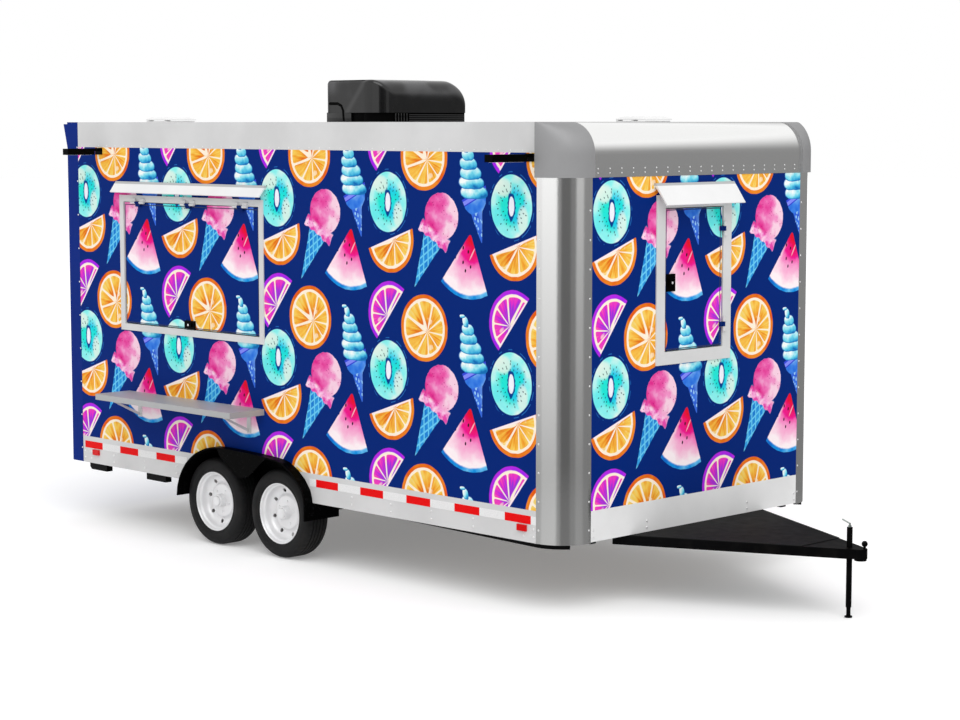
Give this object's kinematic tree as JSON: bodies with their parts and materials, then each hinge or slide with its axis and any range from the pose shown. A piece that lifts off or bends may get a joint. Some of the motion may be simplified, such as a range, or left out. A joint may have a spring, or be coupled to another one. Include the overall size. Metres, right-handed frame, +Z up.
{
  "type": "tandem-axle food concession trailer",
  "caption": "Enclosed two-axle concession trailer with side serving hatch and shelf, front service door, rear barn doors, roof air conditioner and A-frame tongue on a jack.",
  "frame": {"origin": "middle of the bounding box in plan, on the ground", "axes": "+X forward along the tongue, +Y to the left side, +Z up; the serving hatch is on the right side"},
  "size_m": [6.289, 3.079, 3.185],
  "materials": {
    "black_steel": "satin black paint",
    "deck_plate": "matte dark grey paint",
    "crank_zinc": "zinc plated",
    "tyre": "black rubber",
    "rim": "light grey enamel",
    "floor_ply": "sealed plywood",
    "wrap": "gloss printed film on aluminium skin",
    "trim_grey": "light grey enamel",
    "polished": "polished aluminium",
    "cast": "matte cast aluminium",
    "blue": "satin blue paint",
    "white": "matte white",
    "shelf_grey": "brushed aluminium",
    "black_plastic": "gloss black",
    "latch_black": "matte black",
    "lamp_red": "clear red lens"
  },
  "bodies": {
    "trailer": {"tongue_rails": "black_steel", "tongue_deck": "deck_plate", "coupler": "black_steel", "jack_tube": "black_steel", "jack_leg": "black_steel", "jack_crank": "crank_zinc", "chassis_rails": "black_steel", "crossmembers": "black_steel", "axles": "black_steel", "leaf_springs": "black_steel", "floor": "floor_ply", "right_wall": "wrap", "left_wall": "wrap", "front_wall": "wrap", "roof": "trim_grey", "nose_cap": "polished", "corner_caps": "cast", "corner_posts": "polished", "side_skirts": "trim_grey", "top_rails": "trim_grey", "front_strip": "trim_grey", "fenders": "black_steel", "rear_frame": "blue", "hatch_frame": "trim_grey", "visors": "white", "front_door_frame": "trim_grey", "shelf": "shelf_grey", "shelf_brackets": "trim_grey", "ac_unit": "black_plastic", "roof_vents": "white", "scene_lights": "latch_black", "lamps": "lamp_red"},
    "wheel_front_right": {"tyre_front_right": "tyre", "rim_front_right": "rim"},
    "wheel_front_left": {"tyre_front_left": "tyre", "rim_front_left": "rim"},
    "wheel_rear_right": {"tyre_rear_right": "tyre", "rim_rear_right": "rim"},
    "wheel_rear_left": {"tyre_rear_left": "tyre", "rim_rear_left": "rim"},
    "serving_hatch": {"serving_hatch": "wrap", "hatch_latch": "latch_black"},
    "front_door": {"front_door": "wrap", "front_door_latch": "latch_black"},
    "rear_door_right": {"rear_door_right": "blue"},
    "rear_door_left": {"rear_door_left": "blue"},
    "vent_lid_front": {"vent_lid_front": "white"},
    "vent_lid_rear": {"vent_lid_rear": "white"}
  },
  "joints": [
    {"name": "wheel_front_right_spin", "type": "hinge", "parent": "trailer", "child": "wheel_front_right", "pos_m": [-0.73565, -1.12, 0.3], "axis": [0, 1, 0], "continuous": true},
    {"name": "wheel_front_left_spin", "type": "hinge", "parent": "trailer", "child": "wheel_front_left", "pos_m": [-0.73565, 1.12, 0.3], "axis": [0, 1, 0], "continuous": true},
    {"name": "wheel_rear_right_spin", "type": "hinge", "parent": "trailer", "child": "wheel_rear_right", "pos_m": [-1.42965, -1.12, 0.3], "axis": [0, 1, 0], "continuous": true},
    {"name": "wheel_rear_left_spin", "type": "hinge", "parent": "trailer", "child": "wheel_rear_left", "pos_m": [-1.42965, 1.12, 0.3], "axis": [0, 1, 0], "continuous": true},
    {"name": "serving_hatch_hinge", "type": "hinge", "parent": "trailer", "child": "serving_hatch", "pos_m": [-1.6555, -1.238, 2.335], "axis": [-1, 0, 0], "range_deg": [0, 90]},
    {"name": "front_door_hinge", "type": "hinge", "parent": "trailer", "child": "front_door", "pos_m": [1.8925, 0.208, 1.945], "axis": [0, 0, 1], "range_deg": [0, 150]},
    {"name": "rear_door_right_hinge", "type": "hinge", "parent": "trailer", "child": "rear_door_right", "pos_m": [-3.1055, -1.11, 1.65], "axis": [0, 0, 1], "range_deg": [0, 170]},
    {"name": "rear_door_left_hinge", "type": "hinge", "parent": "trailer", "child": "rear_door_left", "pos_m": [-3.1055, 1.11, 1.65], "axis": [0, 0, -1], "range_deg": [0, 170]},
    {"name": "vent_lid_front_hinge", "type": "hinge", "parent": "trailer", "child": "vent_lid_front", "pos_m": [0.86475, 0.45, 2.912], "axis": [0, -1, 0], "range_deg": [0, 60]},
    {"name": "vent_lid_rear_hinge", "type": "hinge", "parent": "trailer", "child": "vent_lid_rear", "pos_m": [-2.76335, -0.64, 2.912], "axis": [0, -1, 0], "range_deg": [0, 60]}
  ]
}
